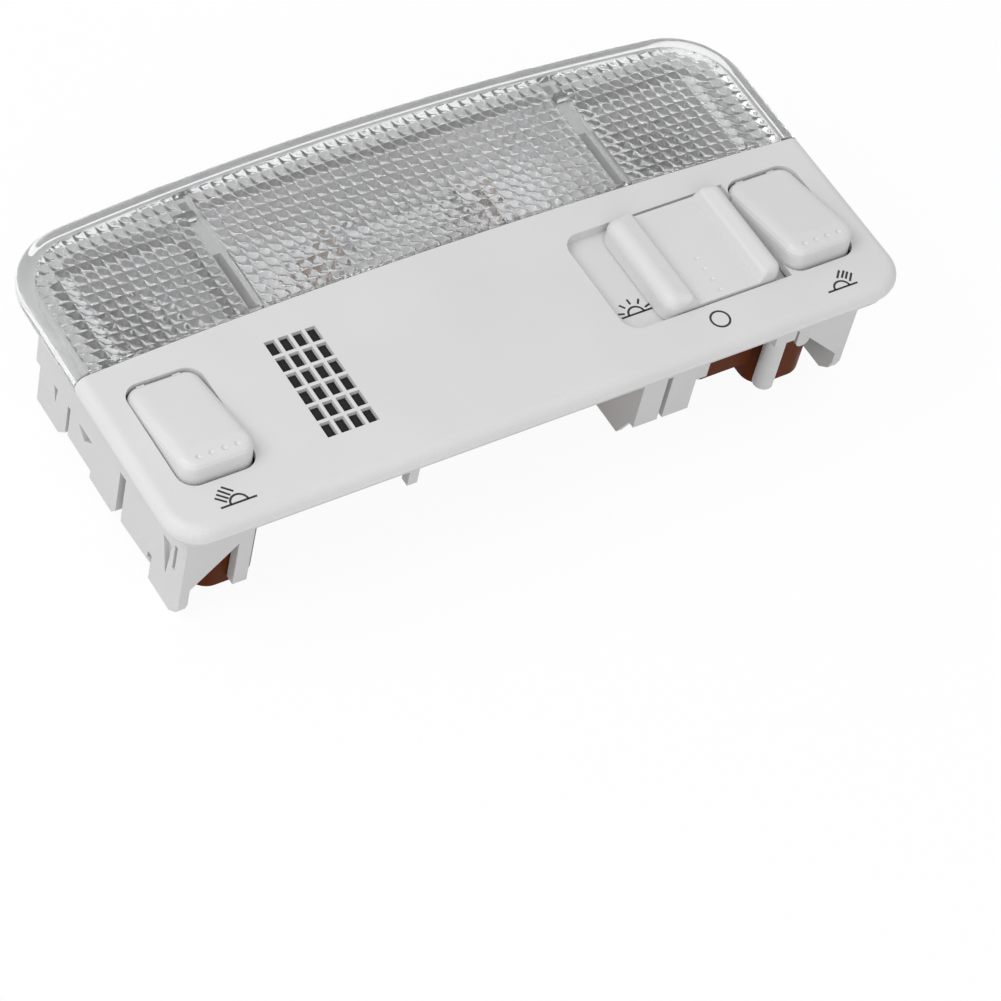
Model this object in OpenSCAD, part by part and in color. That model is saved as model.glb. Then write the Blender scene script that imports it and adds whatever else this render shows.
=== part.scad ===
// Car dome light: face plate with two reading-light buttons and a slide switch, a one-piece
// prismatic lens, a rear housing on four legs, and the lamps, switches and contacts inside.
// Every piece is drawn with x across the light, y counted from the front edge of the face and
// z counted from the face plane, and place() then sets it on its leg tips, centred on the box.

/* [Overall] */
// Width of the face
width = 192.6; // [184:0.2:205]
// Depth of the face, from front edge to the back of the lens
depth = 95.4; // [94.6:0.2:100]
// Height of the face plane above the leg tips
face_h = 40; // [39:0.5:46]

/* [Face outline] */
// Radius of the two front corners
front_corner_r = 9; // [7:0.5:12]
// Radius of the two back corners
back_corner_r = 18.5; // [16:0.5:20]
// How far the back edge bows out over the whole width
back_bow = 6; // [4:0.2:7]
// Rounding of the upper edge
edge_r = 2.8; // [2:0.1:3.4]
// Height of the skirt of the face and of the lens
skirt_h = 6; // [5.6:0.1:7]
// How far the foot of the skirt is drawn in below its widest place
skirt_draft = 1.3; // [0.8:0.1:1.5]

/* [Face plate] */
// Thickness of the plate
plate_t = 2.2; // [1.8:0.1:2.4]
// Thickness of the skirt
skirt_t = 2.8; // [2.4:0.1:3]
// Clearance along the joint of plate and lens, on each side
joint_gap = 0.15; // [0.1:0.05:0.3]
// Share of the depth that the face plate takes, in the middle
plate_share = 0.5419; // [0.54:0.001:0.555]
// How far that joint bows over the whole width
joint_bow = 2.9; // [1.7:0.2:3.5]

/* [Grille] */
// Middle of the grille, from the left side of the face
grille_in = 49.6; // [46:0.1:60]
// Slots across
grille_cols = 4; // [3:1:5]
// Slots from front to back
grille_rows = 6; // [4:1:7]
// Spacing of the slots across
grille_pitch_x = 3.47; // [3.3:0.05:3.8]
// Width of the bars between the slots
slot_bar = 0.85; // [0.7:0.05:1.1]
// Width of the land all round at the bottom of a slot
slot_land = 0.5; // [0.3:0.05:0.7]

/* [Reading buttons] */
// Distance of each button's middle from the side of the face
button_in = 17; // [16.7:0.1:17.7]
// Width of a button
button_w = 18.2; // [17:0.1:18.6]
// Front of a button, from the front edge of the face
button_front = 12.8; // [12.5:0.1:13.3]
// Distance from a button's back to the front of the lamp chambers
button_back = 4.5; // [4.2:0.1:5.5]
// Rise of a button at its front
button_rise = 5; // [4:0.1:5.4]
// Rise of a button at its back
button_back_rise = 0.4; // [0.2:0.1:1]
// Corner radius of a button seen from above
button_corner_r = 3.8; // [3:0.1:4.4]
// Rounding of a button's edges
button_edge_r = 2.2; // [1.4:0.1:2.6]
// Wall of a button
button_wall = 1.6; // [1.2:0.1:1.8]
// Clearance round a button at its sides and back
button_gap = 0.4; // [0.3:0.05:0.6]
// Clearance in front of a button, which swings forward as it is pressed
button_front_gap = 0.7; // [0.65:0.05:1]
// Radius of the hinge pegs
peg_r = 1.4; // [1.1:0.05:1.6]
// Clearance of a peg in its ear, all round
peg_clear = 0.06; // [0.04:0.01:0.1]

/* [Slide switch] */
// Left end of the recess, from the right side of the face
recess_in = 71.3; // [70.7:0.1:73]
// Depth of the recess
recess_d = 2.7; // [2.5:0.1:3]
// Thickness of the floor of the recess
recess_floor = 1.5; // [1.2:0.1:1.6]
// How much shorter the slider is than a button
slider_short = 0.5; // [0.1:0.1:1.5]
// Gap left of the slider when it is fully to the left
slider_stop_gap = 1; // [0.6:0.1:2]
// Gap between the slider and the right end of its recess
slider_end_gap = 2.8; // [2.5:0.1:3.2]
// Height of the two grip ridges above the face
ridge_h = 4.2; // [3:0.1:4.6]
// Height of the trough between them above the face
trough_h = 0.6; // [0.3:0.1:1.2]
// Travel of the slider from door position to always on
slider_travel = 9.5; // [8:0.1:9.6]
// Running clearance under and beside the slider's pieces
run_gap = 0.3; // [0.25:0.01:0.4]

/* [Lens] */
// Thickness of the lens plate
lens_t = 1.6; // [1.4:0.1:2]
// Thickness of the lens skirt
lens_skirt_t = 4.3; // [3.9:0.1:4.5]
// Depth of the prisms
prism_d = 1.2; // [0.8:0.1:1.4]
// Spacing of the prisms
prism_pitch = 3; // [2.9:0.1:3.6]
// Distance of the two smooth ribs from the sides of the face
rib_in = 47.3; // [45.5:0.1:48.3]
// Width of a smooth rib
rib_w = 3.4; // [2.8:0.1:3.8]
// Thickness of a fin beside a smooth rib
fin_t = 0.7; // [0.5:0.1:0.9]

/* [Rear housing] */
// Thickness of the lip that the face and the lens sit on
lip_t = 1.2; // [1:0.1:1.6]
// How far the lip lies back from the outline
lip_inset = 1.7; // [1.6:0.1:2.2]
// How far the outer walls lie back from the outline
wall_inset = 6.9; // [6.3:0.1:7.3]
// Thickness of the outer walls
wall_t = 2.4; // [2:0.1:2.6]
// How far the lamp chambers' wall starts in front of the ends of the joint
lamp_front = 2; // [1.6:0.1:2.4]
// Thickness of the wall in front of the lamp chambers
lamp_wall_t = 3.2; // [2.8:0.1:3.4]
// Depth of the lamp chambers' floor below the face
lamp_floor_z = 26; // [25:0.5:28]
// Thickness of that floor
lamp_floor_t = 1.6; // [1.2:0.1:2]
// Depth of the ledge under the lens below the face
ledge_z = 4.2; // [3.8:0.1:4.6]
// Back of the middle chamber, from the back edge of the face
mid_back_in = 9.1; // [8.7:0.1:11]
// Back of the side chambers, from the back edge of the face
side_back_in = 12.5; // [12.1:0.1:14]
// Half thickness of the walls under the smooth ribs
rib_wall = 2; // [1.6:0.1:3]

/* [Contact carrier] */
// Depth of the carrier's top below the face
carrier_z = 12.8; // [12.4:0.1:13.6]
// Thickness of the carrier
carrier_t = 1.6; // [1.4:0.1:2]
// Clearance of the carrier inside the housing
carrier_gap = 0.2; // [0.15:0.05:0.3]
// Left side of the plug socket, from the right side of the face
socket_in = 66.9; // [66.4:0.1:68]
// Width of the plug socket
socket_w = 15.2; // [14.8:0.1:16]
// Length of the plug socket from front to back
socket_l = 17; // [16:0.5:18]
// Wall of the plug socket
socket_wall = 1.6; // [1.3:0.1:1.8]
// Depth of the plug socket's rim below the face
socket_z = 37; // [34:0.5:38]
// Thickness of the copper busbars
bar_t = 0.8; // [0.6:0.1:1]

/* [Push switches] */
// How far the left switch stands inwards of its button's middle
left_switch_off = 3.8; // [3.2:0.1:4.2]
// How far the right switch stands inwards of its button's middle
right_switch_off = 5.6; // [5.4:0.1:5.7]
// Clearance between a switch cup and the front wall
switch_gap = 0.4; // [0.3:0.05:1]
// Width of a switch cup
cup_w = 16; // [15:0.2:16.4]
// Length of a switch cup from front to back
cup_l = 14; // [13.8:0.1:15]
// Radius of a switch cup's corners seen from above
cup_corner_r = 5; // [4:0.1:5.4]
// Radius of a switch cup's bore
cup_bore_r = 5.8; // [5.6:0.05:6]
// Thickness of a switch cup's floor
cup_floor = 1.6; // [1.2:0.1:2]
// Depth of a switch cup's bottom below the face
cup_z = 36.4; // [33:0.1:37]
// Radius of a plunger
plunger_r = 2.5; // [2:0.1:2.8]
// Middle of the locating pin, from the right side of the face
pin_in = 29.8; // [29.6:0.1:30]
// Radius of the locating pin
pin_r = 2.5; // [2.2:0.05:2.6]
// Depth of the locating pin's tip below the face
pin_low = 31.2; // [28:0.2:34]
// Radius of a return spring's coil
spring_r = 3.6; // [3.3:0.1:3.9]
// Radius of a return spring's wire
wire_r = 0.35; // [0.3:0.05:0.45]

/* [Lamps] */
// Length of the tubular bulb over its two caps
tube_bulb_l = 41; // [36:0.5:42]
// Radius of the tubular bulb
tube_bulb_r = 5.25; // [4.5:0.05:5.5]
// Depth of the tubular bulb's axis below the face
tube_bulb_z = 12; // [11:0.5:13]
// Tubular bulb's axis, behind the front of the lamp chambers
tube_bulb_in = 19.5; // [18:0.5:21]
// Reading bulbs, behind the front of the lamp chambers
reading_in = 18.5; // [17.5:0.5:20]
// Radius of a reading bulb
reading_r = 5; // [4.5:0.1:5.2]
// Thickness of the sheet reflectors
sheet_t = 0.8; // [0.5:0.1:1]

/* [Hidden] */
$fn = 64;
eps = 0.05;
arc_fn = 8;

half_w = width / 2;
joint_y = depth * plate_share;
lamp_y = joint_y - joint_bow - lamp_front;
button_x = half_w - button_in;
button_l = lamp_y - button_back - button_front;
grille_x = grille_in - half_w;
grille_y = button_front + button_l / 2 - 0.25;
grille_pitch_y = (button_l + 0.68) / grille_rows;
slot_w = grille_pitch_x - slot_bar;
slot_l = grille_pitch_y - slot_bar;
recess_x = half_w - recess_in;
slider_l = button_l - slider_short;
rib_x = half_w - rib_in;
mid_half_w = rib_x - rib_wall;
mid_back_y = depth - mid_back_in;
side_back_y = depth - side_back_in;
socket_x = half_w - socket_in;
pin_x = half_w - pin_in;
tube_bulb_y = lamp_y + tube_bulb_in;
reading_y = lamp_y + reading_in;
back_r = (half_w * half_w + back_bow * back_bow) / (2 * back_bow);
back_cy = depth - back_r;
corner_x = half_w - back_corner_r;
corner_y = back_cy + sqrt(pow(back_r - back_corner_r, 2) - corner_x * corner_x);
corner_a = atan2(corner_y - back_cy, corner_x);
joint_r = (half_w * half_w + joint_bow * joint_bow) / (2 * joint_bow);
joint_cy = joint_y - joint_r;

lip_z = skirt_h + lip_t;
inner_inset = wall_inset + wall_t;
well_front = button_front - button_front_gap;
well_back = button_front + button_l + button_gap;
well_half_w = button_w / 2 + button_gap;
recess_end = button_x - well_half_w;
slider_w = recess_end - recess_x - slider_end_gap - slider_travel - slider_stop_gap;
slider_x = recess_end - slider_end_gap - slider_w / 2;
slider_y = (well_front + well_back) / 2 - 0.3;
carrier_low = carrier_z + carrier_t;
pivot_y = button_front + button_l - 2;
pivot_z = 7.4;
arm_x = 3.4;
arm_t = 2;
arm_tip_r = 2.1;
ear_gap = 0.2;
ear_t = 1.6;
ear_low = 10.4;
ear_high = 4.6;
button_low = 3.6;
plunger_top = 6.4;
lid_t = 2.8;
cup_flange_t = 1;
cup_flange_w = 0.5;
cup_clear = 0.15;
left_switch_x = left_switch_off - button_x;
right_switch_x = button_x - right_switch_off;
switch_y = inner_inset + switch_gap + cup_l / 2;
side_in = rib_x + rib_wall;
side_out = half_w - 9.3;
chamber_inset = wall_inset + 1.6;
reading_x = (side_in + side_out) / 2 + 1;

module place() {
    translate([0, -depth / 2, face_h]) children();
}

module mirrored(side) {
    if (side > 0) children();
    else mirror([1, 0, 0]) children();
}

function arc(cx, cy, r, a0, a1, n, first = 0) =
    [for (i = [first:n]) let (a = a0 + (a1 - a0) * i / n) [cx + r * cos(a), cy + r * sin(a)]];

// The outline of the face, drawn in by a given distance
module outline(inset) {
    rf = front_corner_r - inset > 0.5 ? front_corner_r - inset : 0.5;
    fx = half_w - inset - rf;
    fy = inset + rf;
    polygon(concat(
        arc(fx, fy, rf, -90, 0, arc_fn),
        arc(corner_x, corner_y, back_corner_r - inset, 0, corner_a, arc_fn),
        arc(0, back_cy, back_r - inset, corner_a, 180 - corner_a, 24, 1),
        arc(-corner_x, corner_y, back_corner_r - inset, 180 - corner_a, 180, arc_fn, 1),
        arc(-fx, fy, rf, 180, 270, arc_fn)));
}

// The rounded block that the plate and the lens are both cut from
module shell() {
    hull() {
        translate([0, 0, -skirt_h]) linear_extrude(eps) outline(skirt_draft);
        translate([0, 0, -(skirt_h + edge_r) / 2]) linear_extrude(eps) outline(skirt_draft * 0.3);
        for (a = [0:15:90]) {
            rise = edge_r * sin(a) - edge_r;
            translate([0, 0, rise - eps]) linear_extrude(eps) outline(edge_r * (1 - cos(a)));
        }
    }
}

// Everything in front of the bowed joint, drawn back by a gap
module front_side(gap) {
    intersection() {
        translate([-half_w - 5, -5]) square([width + 10, depth + 10]);
        translate([0, joint_cy]) circle(joint_r - gap, $fn = 360);
    }
}

module back_side(gap) {
    difference() {
        translate([-half_w - 5, joint_y - joint_bow - 5]) square([width + 10, depth]);
        translate([0, joint_cy]) circle(joint_r + gap, $fn = 360);
    }
}

module slab(z_low, z_high) {
    translate([0, 0, -z_low]) linear_extrude(z_low - z_high) children();
}

module rounded(w, l, r) {
    x = w / 2 - r;
    y = l / 2 - r;
    polygon(concat(
        arc(x, -y, r, -90, 0, arc_fn),
        arc(x, y, r, 0, 90, arc_fn),
        arc(-x, y, r, 90, 180, arc_fn),
        arc(-x, -y, r, 180, 270, arc_fn)));
}

module well(side) {
    translate([side * button_x, (well_front + well_back) / 2])
        rounded(2 * well_half_w, well_back - well_front, button_corner_r + button_gap);
}

module recess_shape(grow) {
    w = recess_end - recess_x + grow + 6;
    l = well_back - well_front + 2 * grow;
    intersection() {
        translate([recess_x - grow + w / 2, (well_front + well_back) / 2]) rounded(w, l, 4.5 + grow);
        translate([recess_x - grow, 0]) square([recess_end - recess_x + grow, depth]);
    }
}

module grille_slots() {
    for (i = [0:grille_cols - 1], j = [0:grille_rows - 1]) {
        x = grille_x + (i - (grille_cols - 1) / 2) * grille_pitch_x;
        y = grille_y + (j - (grille_rows - 1) / 2) * grille_pitch_y;
        translate([x, y, 0]) {
            translate([-slot_w / 2, -slot_l / 2, -plate_t * 0.6]) cube([slot_w, slot_l, plate_t]);
            translate([slot_land - slot_w / 2, slot_land - slot_l / 2, -plate_t - 1])
                cube([slot_w - 2 * slot_land, slot_l - 2 * slot_land, plate_t + 1]);
        }
    }
}

stem_w = 10;
stem_l = 6;

module stem_slot() {
    w = stem_w + slider_travel + 2 * run_gap;
    translate([slider_x - slider_travel / 2 - w / 2, slider_y - stem_l / 2 - run_gap])
        square([w, stem_l + 2 * run_gap]);
}

module face_plate() {
    color([0.84, 0.84, 0.83]) place() difference() {
        union() {
            difference() {
                shell();
                slab(skirt_h + 1, plate_t) outline(skirt_t);
                slab(skirt_h + 1, -1) back_side(-joint_gap);
            }
            slab(recess_d + recess_floor, plate_t - eps) recess_shape(recess_floor);
            slab(ledge_z - run_gap, plate_t - eps) intersection() {
                translate([-half_w + skirt_t + 1, lamp_y + 0.4]) square([width - 2 * skirt_t - 2, 1.4]);
                outline(skirt_t + 1);
            }
        }
        slab(recess_d, -1) recess_shape(0);
        slab(skirt_h, -1) well(-1);
        slab(skirt_h, -1) well(1);
        slab(skirt_h, 0) stem_slot();
        grille_slots();
    }
}

// Where the joint of plate and lens runs at a given x
function joint_edge(x) = joint_cy + sqrt(joint_r * joint_r - x * x);

// Where the back edge of the outline runs at a given x, drawn in by a distance
function back_edge(x, inset) =
    let (r = back_corner_r - inset, past = abs(x) - corner_x)
    past < r * cos(corner_a)
        ? back_cy + sqrt(pow(back_r - inset, 2) - x * x)
        : corner_y + sqrt(max(r * r - past * past, 0));

prism_clear = 0.35;
prism_root = 0.4;
prism_lift = 0.05;
prism_y0 = joint_y - joint_bow;
prism_rows = round((depth - lens_skirt_t - prism_y0) / prism_pitch);
prism_pitch_y = (depth - lens_skirt_t - prism_y0) / prism_rows;

// One column of pyramids under the lens, from row j0 up to row j1
module prism_column(xa, xb, j0, j1) {
    n = j1 - j0;
    y = [for (j = [0:n]) prism_y0 + (j0 + j) * prism_pitch_y];
    edge = [for (j = [0:n], x = [xa, xb]) [x, y[j], 0]];
    tips = [for (j = [0:n - 1]) [(xa + xb) / 2, (y[j] + y[j + 1]) / 2, -prism_d]];
    roof = [for (c = [[xa, 0], [xb, 0], [xb, n], [xa, n]]) [c[0], y[c[1]], prism_root]];
    t = len(edge);
    r = t + n;
    facets = [for (j = [0:n - 1]) let (a = 2 * j, tip = t + j)
        each [[a, a + 1, tip], [a + 1, a + 3, tip], [a + 3, a + 2, tip], [a + 2, a, tip]]];
    sides = [
        [1, 0, r, r + 1],
        concat([for (j = [n:-1:0]) 2 * j + 1], [r + 1, r + 2]),
        [2 * n, 2 * n + 1, r + 2, r + 3],
        concat([for (j = [0:n]) 2 * j], [r + 3, r])];
    top = [[r + 3, r + 2, r + 1, r]];
    translate([0, 0, -lens_t - prism_lift])
        polyhedron(points = concat(edge, tips, roof), faces = concat(facets, sides, top));
}

// Columns of pyramids between two places across, each as long as the lens allows there
module prism_window(x0, x1) {
    n = round((x1 - x0) / prism_pitch);
    for (i = [0:n - 1]) {
        xa = x0 + i * (x1 - x0) / n;
        xb = x0 + (i + 1) * (x1 - x0) / n;
        front = max(joint_edge(xa), joint_edge(xb)) + joint_gap + 1.1 + prism_clear;
        back = min(back_edge(xa, lens_skirt_t), back_edge(xb, lens_skirt_t)) - prism_clear;
        j0 = ceil((front - prism_y0) / prism_pitch_y);
        j1 = floor((back - prism_y0) / prism_pitch_y);
        if (j1 > j0) prism_column(xa, xb, j0, j1);
    }
}

snap_x = side_in;
snap_w = 5;
snap_y = side_back_y - 0.3;
snap_l = 2;
snap_z = 10;
snap_barb = 0.25;

module lens() {
    color([0.9, 0.93, 0.95, 0.6]) place() {
        difference() {
            shell();
            slab(skirt_h + 1, lens_t) intersection() {
                outline(lens_skirt_t);
                back_side(joint_gap + 1.1);
            }
            slab(skirt_h + 1, -1) front_side(-joint_gap);
            slab(skirt_h + 1, ledge_z) outline(lens_skirt_t);
        }
        prism_window(-rib_x + rib_w / 2 + fin_t, rib_x - rib_w / 2 - fin_t);
        for (side = [-1, 1]) mirrored(side) {
            prism_window(rib_x + rib_w / 2 + fin_t, half_w - lens_skirt_t - prism_clear);
            for (e = [-1, 1]) intersection() {
                translate([rib_x + e * rib_w / 2, 0, 0]) fin();
                slab(ledge_z, 0) intersection() {
                    outline(lens_skirt_t - 0.2);
                    back_side(joint_gap + 0.9);
                }
            }
            translate([snap_x, snap_y, 0]) snap_leg();
        }
    }
}

// Drafted fin that closes a chamber off beside a smooth rib
module fin() {
    l = depth - joint_y;
    hull() translate([0, joint_y - joint_bow, 0]) {
        translate([-fin_t / 2, 0, -lens_t]) cube([fin_t, l, eps]);
        translate([-fin_t / 4, 0, run_gap - ledge_z]) cube([fin_t / 2, l, eps]);
    }
}

// Leg with a lead-in and a barb that snaps into the rear housing
module snap_leg() {
    hull() {
        translate([-snap_w / 2, -snap_l / 2, -snap_z + 1]) cube([snap_w, snap_l, snap_z - 1 - lens_t + eps]);
        translate([-snap_w / 2 + 0.5, -snap_l / 4, -snap_z]) cube([snap_w - 1, snap_l / 2, eps]);
    }
    hull() {
        translate([-snap_w / 2, 0, -snap_z + 1]) cube([snap_w, snap_l / 2 + snap_barb, eps]);
        translate([-snap_w / 2, 0, -snap_z + 2.4]) cube([snap_w, snap_l / 2, eps]);
    }
}

module chamber(x0, x1, back_y) {
    intersection() {
        translate([x0, lamp_y + lamp_wall_t]) square([x1 - x0, back_y - lamp_y - lamp_wall_t]);
        outline(chamber_inset);
    }
}

wall_back = side_back_y - 6;

// Places along a side wall, from its front end at 5.6 to its back end at 75.6 on a light 92.6 deep
function along(y) = wall_inset + (y - 5.6) * (wall_back - wall_inset) / 70;

// Profile of a side wall seen from the side: two legs, a middle web and the gaps between them
module side_wall_profile(foot) {
    polygon([for (c = [
        [5.6, lip_z], [5.6, foot - 4.8], [6.4, foot - 2.4], [9.2, foot], [18.8, foot], [18.8, 34.8],
        [32.8, 36], [32.8, 21.5], [35.4, 21.5], [35.4, 35.4], [37, 37.5], [47.6, 37.5],
        [47.6, 35], [58.8, 35], [58.8, 26], [60, 24], [60, 35.4], [63, 38.5],
        [73.6, 38.5], [73.6, 27], [75.6, 27], [75.6, lip_z]]) [along(c[0]), -c[1]]]);
}

module side_wall(foot) {
    difference() {
        translate([half_w - wall_inset, 0, 0]) rotate([0, -90, 0]) rotate([0, 0, -90]) mirror([1, 0, 0])
            linear_extrude(wall_t) side_wall_profile(foot);
        for (y = [9.2, 62.2]) translate([half_w - wall_inset - 1.2, along(y), 0]) {
            translate([0, 0, -26]) cube([2, 1.1, 8]);
            translate([0, 2.2, 0]) rotate([90, 0, 90]) linear_extrude(2)
                polygon([[0, -20], [3.8, -20], [1.2, -31]]);
        }
        translate([half_w - wall_inset - wall_t - 1, 0, 0]) rotate([90, 0, 90]) linear_extrude(wall_t + 2) {
            polygon([for (c = [[46.6, 24.6], [48.6, 23.4], [54.6, 26.2], [51.6, 29]]) [along(c[0]), -c[1]]]);
            translate([along(18.6), -34]) square([1.8, 2]);
        }
    }
}

brace_x = half_w - 20.3;
slope_x = half_w - 24.8;

// Corner plate at the front, cut back along a slope so that it braces the corner leg
module corner_plate(foot) {
    x = half_w - wall_inset;
    translate([0, wall_inset + wall_t, 0]) rotate([90, 0, 0]) linear_extrude(wall_t)
        polygon([
            [x, -lip_z], [x, 4.8 - foot], [x - 0.6, 5 - foot], [x - 1.4, -31],
            [slope_x, -carrier_low + eps], [slope_x, -lip_z]]);
}

ear_in = arm_x + arm_t + ear_gap;

module hinge_ears() {
    for (side = [-1, 1], e = [-1, 1]) {
        x = side * button_x + e * (ear_in + ear_t / 2);
        difference() {
            translate([x - ear_t / 2, pivot_y - 2.9, -ear_low])
                cube([ear_t, lamp_y - pivot_y + 4, ear_low - ear_high]);
            translate([x, pivot_y, -pivot_z]) rotate([0, 90, 0])
                cylinder(r = peg_r + peg_clear, h = ear_t + 1, center = true);
        }
    }
}

pin_y = wall_inset + 0.4;
boss_half_w = pin_r + 0.4;
right_foot = 38.4;
leg_low = 33.6;
leg_w = 3.6;
tab_low = 20.4;
tongue_low = 20.2;
tongue_w = 2.6;
tab_r = 1.9;
tab_x = slope_x + 3.8;

// Second leg at the left front, beside the switch cup
module front_leg() {
    translate([-brace_x, wall_inset, -leg_low]) {
        cube([leg_w, wall_t, leg_low - lip_z]);
        cube([leg_w, switch_y - cup_l / 2 - wall_inset - run_gap, leg_low - carrier_low]);
    }
}

// Small tongues that hang from the front wall
module front_tabs() {
    translate([63.1 - half_w, wall_inset, -tongue_low]) cube([tongue_w, wall_t, tongue_low - lip_z]);
    translate([0, wall_inset + wall_t, 0]) rotate([90, 0, 0]) linear_extrude(wall_t - 0.4) polygon(concat(
        [[tab_x - tab_r, -lip_z]], arc(tab_x, -tab_low, tab_r, 180, 360, arc_fn), [[tab_x + tab_r, -lip_z]]));
}

module rear_housing() {
    color([0.8, 0.8, 0.79]) place() {
        difference() {
            union() {
                slab(lip_z, skirt_h) outline(lip_inset);
                slab(carrier_low, lip_z - eps) outline(wall_inset);
                slab(lamp_floor_z, lip_z - eps) lamp_bay(wall_inset);
                slab(skirt_h + eps, ledge_z) lamp_bay(lens_skirt_t + run_gap);
            }
            slab(carrier_low + 1, 0) difference() {
                outline(inner_inset);
                translate([-half_w, lamp_y]) square([width, depth]);
            }
            slab(lamp_floor_z - lamp_floor_t, 0) {
                chamber(-mid_half_w, mid_half_w, mid_back_y);
                for (side = [-1, 1]) mirrored(side) difference() {
                    chamber(side_in, side_out + 1, side_back_y);
                    translate([side_in - 1, snap_y - 3]) square([4, 6]);
                }
            }
            for (side = [-1, 1]) mirrored(side) {
                translate([reading_x, reading_y, -lamp_floor_z - 1])
                    cylinder(r = holder_r + 0.2, h = lamp_floor_t + 2);
                translate([rib_x - 1.1, lamp_y + lamp_wall_t + 2, -20]) cube([2.2, 19, 20]);
                translate([rib_x - 1.1, snap_y + 2, -12]) cube([2.2, 3, 12]);
                translate([snap_x - snap_w / 2 - run_gap, snap_y - snap_l / 2 - run_gap, -snap_z - 0.6])
                    cube([snap_w + 2 * run_gap, snap_l + 2 * run_gap, snap_z]);
            }
        }
        hinge_ears();
        for (side = [-1, 1]) mirrored(side) {
            side_wall(side < 0 ? face_h : right_foot);
            corner_plate(side < 0 ? face_h : right_foot);
        }
        front_leg();
        front_tabs();
        translate([pin_x, pin_y, -pin_low]) cylinder(r = pin_r, h = pin_low - carrier_low);
        translate([pin_x - boss_half_w, pin_y - boss_half_w, -carrier_low])
            cube([2 * boss_half_w, inner_inset - pin_y + boss_half_w, carrier_low - lip_z]);
    }
}

module lamp_bay(inset) {
    intersection() {
        outline(inset);
        translate([-half_w, lamp_y]) square([width, depth]);
    }
}

module contact_carrier() {
    color([0.4, 0.2, 0.09]) place() difference() {
        union() {
            slab(carrier_low, carrier_z) intersection() {
                outline(inner_inset + carrier_gap);
                translate([-half_w, 0]) square([width, lamp_y - carrier_gap]);
            }
            translate([bulge_x, bulge_y, 0]) rotate([90, 0, 90]) linear_extrude(bulge_w) bulge(0);
            mic_seat();
        }
        translate([bulge_x + bulge_wall, bulge_y, 0]) rotate([90, 0, 90])
            linear_extrude(bulge_w - 2 * bulge_wall) bulge(bulge_wall);
        for (x = [left_switch_x, right_switch_x]) translate([x, switch_y, 0])
            slab(carrier_low + 1, carrier_z - 1) {
                rounded(cup_w + 2 * cup_clear, cup_l + 2 * cup_clear, cup_corner_r + cup_clear);
                translate([-cup_w / 2 - cup_clear, -cup_l]) square([cup_w + 2 * cup_clear, cup_l]);
            }
    }
}

supply_y = lamp_y - 6.5;
ground_y = lamp_y - 13.5;

shoulder_w = 4;
shoulder_l = 9;
shoulder_low = 21.5;

bulge_y = inner_inset + 1;
bulge_x = socket_x + socket_w + shoulder_w + 0.9;
bulge_end = half_w - 33.5;
bulge_w = bulge_end - bulge_x;
bulge_l = ground_y - bulge_y - 6;
bulge_low = 27.4;
bulge_wall = 1.2;
bulge_slope = 1.6;

// Section of the trough under the slide switch, drawn in by a wall
module bulge(wall) {
    top = wall > 0 ? carrier_z - 1 : carrier_z + eps;
    translate([0, -bulge_low + wall]) polygon([
        [wall, bulge_low - wall - top], [wall, bulge_slope], [wall + bulge_slope, 0],
        [bulge_l - wall - bulge_slope, 0], [bulge_l - wall, bulge_slope],
        [bulge_l - wall, bulge_low - wall - top]]);
}

socket_y = wall_inset;

// Shroud of the plug socket, with a shoulder beside it
// Its front wall is split and leans back at the foot
module connector_socket() {
    color([0.8, 0.8, 0.79]) place() translate([socket_x, socket_y, 0]) difference() {
        union() {
            translate([0, 0, -socket_z]) cube([socket_w, socket_l, socket_z - carrier_low]);
            translate([socket_w - eps, 1, 0]) rotate([90, 0, 90]) linear_extrude(shoulder_w)
                polygon([[0, -carrier_low], [0, -shoulder_low], [shoulder_l - 3, -shoulder_low],
                    [shoulder_l, -carrier_low - 2], [shoulder_l, -carrier_low]]);
        }
        translate([socket_wall, socket_wall, -socket_z - 1])
            cube([socket_w - 2 * socket_wall, socket_l - 2 * socket_wall, socket_z - carrier_low - 1]);
        translate([-1, 0, -socket_z]) rotate([90, 0, 90]) linear_extrude(socket_w + 2)
            polygon([[-1, 7], [socket_wall + 0.2, 7], [5, 0], [5, -1], [-1, -1]]);
        translate([socket_w / 2 - 1, -1, -socket_z])
            cube([1.4, socket_wall + 2, socket_z - carrier_low - 1.2]);
        for (i = [0:2], j = [0:1]) translate([pin_place(i), pin_row(j), -carrier_low - 3])
            translate([-pin_w / 2 - 0.1, -pin_t / 2 - 0.1, 0]) cube([pin_w + 0.2, pin_t + 0.2, 5]);
    }
}

pin_w = 2.4;
pin_t = 0.8;

function pin_place(i) = socket_w / 2 + (i - 1) * 4;
function pin_row(j) = socket_l / 2 + (j - 0.5) * 5;

mic_r = 4.85;
mic_h = 5;
foam_t = 3;
foam_w = grille_cols * grille_pitch_x + 3.1;
foam_l = grille_rows * grille_pitch_y + 2.8;

module mic_seat() {
    translate([grille_x, grille_y, -carrier_z - eps]) difference() {
        cylinder(r = mic_r + 1.8, h = 4.6);
        translate([0, 0, 2.4]) cylinder(r = mic_r + 0.15, h = 4);
        translate([0, 0, -1]) cylinder(r = 3, h = 5);
    }
}

module microphone() {
    color([0.7, 0.7, 0.72]) place() translate([grille_x, grille_y, -plate_t - foam_t - mic_h - 0.1]) {
        cylinder(r = mic_r, h = mic_h);
    }
}

module microphone_foam() {
    color([0.06, 0.06, 0.06]) place() {
        translate([grille_x - foam_w / 2, grille_y - foam_l / 2, -plate_t - foam_t])
            cube([foam_w, foam_l, foam_t]);
    }
}

// One corner of a button: a ring whose hull with the others rounds the top edges
module button_corner(r, edge) {
    rotate_extrude($fn = 32)
        polygon(concat([[0, -edge]], arc(r - edge, 0, edge, -90, 90, arc_fn), [[0, edge]]));
}

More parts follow.
